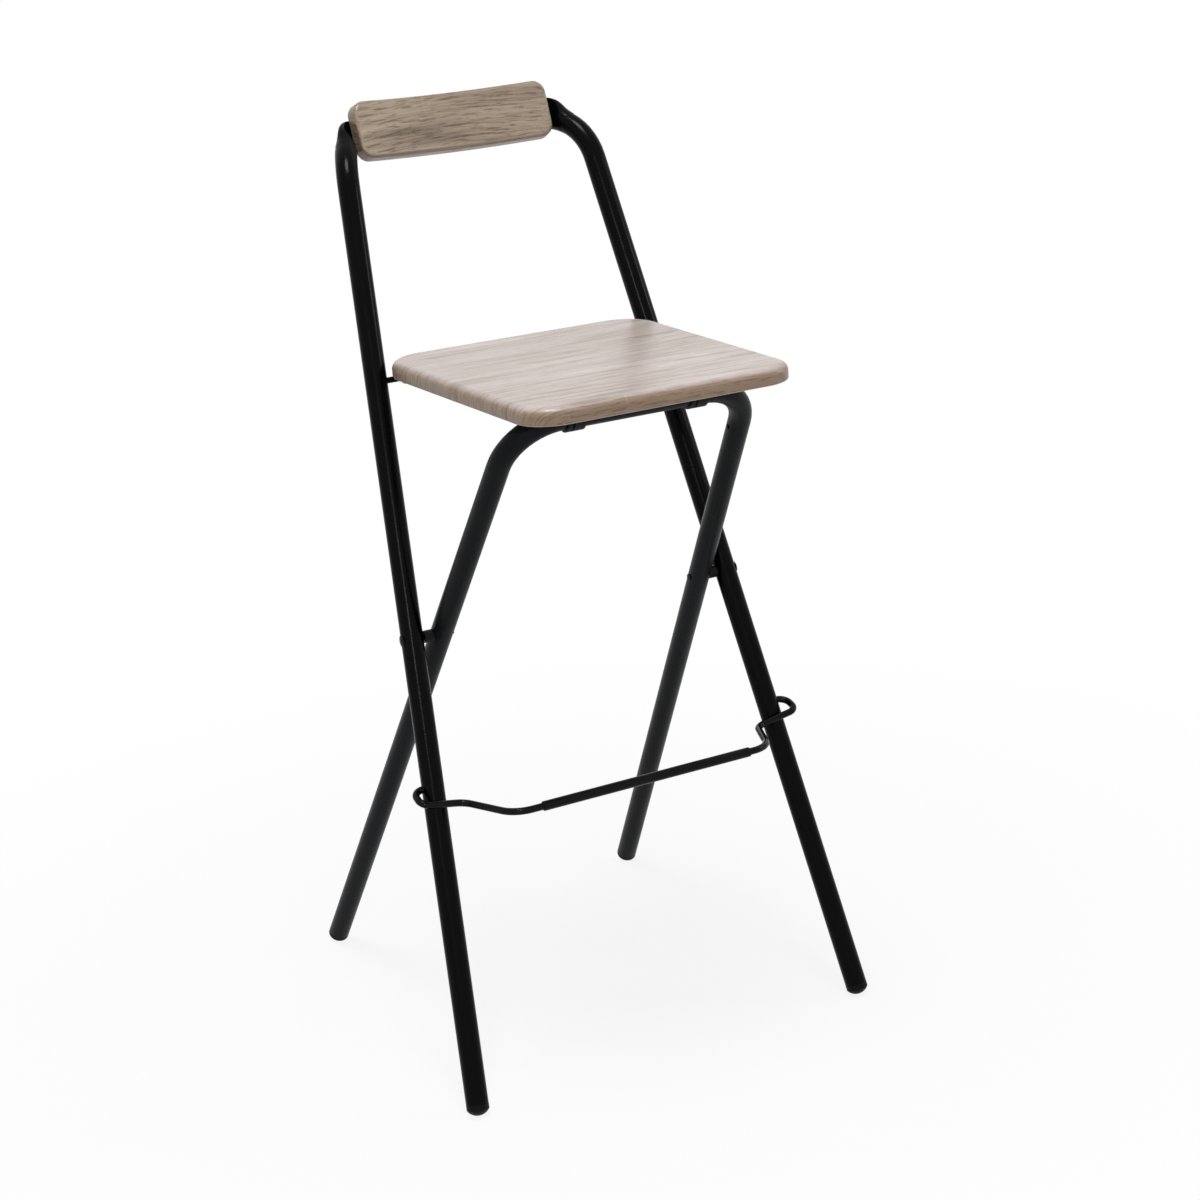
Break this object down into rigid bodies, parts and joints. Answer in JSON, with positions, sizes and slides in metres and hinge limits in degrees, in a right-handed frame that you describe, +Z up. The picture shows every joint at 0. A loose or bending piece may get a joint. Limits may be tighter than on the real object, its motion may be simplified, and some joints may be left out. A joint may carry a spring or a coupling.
{
  "type": "folding bar stool",
  "caption": "Folding bar stool with a flat wooden seat, a curved wooden backrest, crossed bent-tube legs, a flip-up wire footrest and domed foot caps.",
  "frame": {"origin": "centre of the footprint box, on the floor", "axes": "+X from the left leg to the right leg as seen from the front, +Y from the seat's front edge to the rear, +Z up"},
  "size_m": [0.4526, 0.5378, 0.9224],
  "materials": {
    "black_paint": "semi-gloss",
    "charcoal_paint": "satin",
    "seat_wood": "satin",
    "backrest_wood": "satin",
    "cap_plastic": "matte",
    "charcoal_plastic": "satin",
    "sleeve_plastic": "gloss",
    "zinc_steel": "satin"
  },
  "bodies": {
    "back_frame": {"back_frame_tube": "black_paint", "seat_support_rod": "black_paint", "backrest_board": "backrest_wood", "backrest_screws": "zinc_steel", "front_foot_cap_left": "cap_plastic", "front_foot_cap_right": "cap_plastic", "pivot_rivet_left": "black_paint", "pivot_rivet_right": "black_paint"},
    "leg_frame": {"leg_frame_tube": "charcoal_paint", "rear_foot_cap_left": "cap_plastic", "rear_foot_cap_right": "cap_plastic", "pivot_spacer_left": "cap_plastic", "pivot_spacer_right": "cap_plastic"},
    "seat": {"seat_board": "seat_wood", "seat_hinge_clip_left": "charcoal_plastic", "seat_hinge_clip_right": "charcoal_plastic", "hinge_clip_screws": "zinc_steel", "seat_hook_left": "zinc_steel", "seat_hook_right": "zinc_steel", "seat_hook_screws": "zinc_steel"},
    "footrest": {"footrest_wire": "black_paint", "footrest_sleeve": "sleeve_plastic"}
  },
  "joints": [
    {"name": "frame_fold", "type": "hinge", "parent": "back_frame", "child": "leg_frame", "pos_m": [0, -0.03571, 0.43101], "axis": [-1, 0, 0], "range_deg": [0, 43]},
    {"name": "seat_swing", "type": "hinge", "parent": "leg_frame", "child": "seat", "pos_m": [0, -0.1952, 0.65964], "axis": [1, 0, 0], "range_deg": [0, 116.1]},
    {"name": "footrest_lift", "type": "hinge", "parent": "back_frame", "child": "footrest", "pos_m": [0, -0.08376, 0.2968], "axis": [-1, 0, 0], "range_deg": [0, 95]}
  ],
  "couplings": [
    {"joint": "seat_swing", "follows": "frame_fold", "ratio": 2.7}
  ]
}
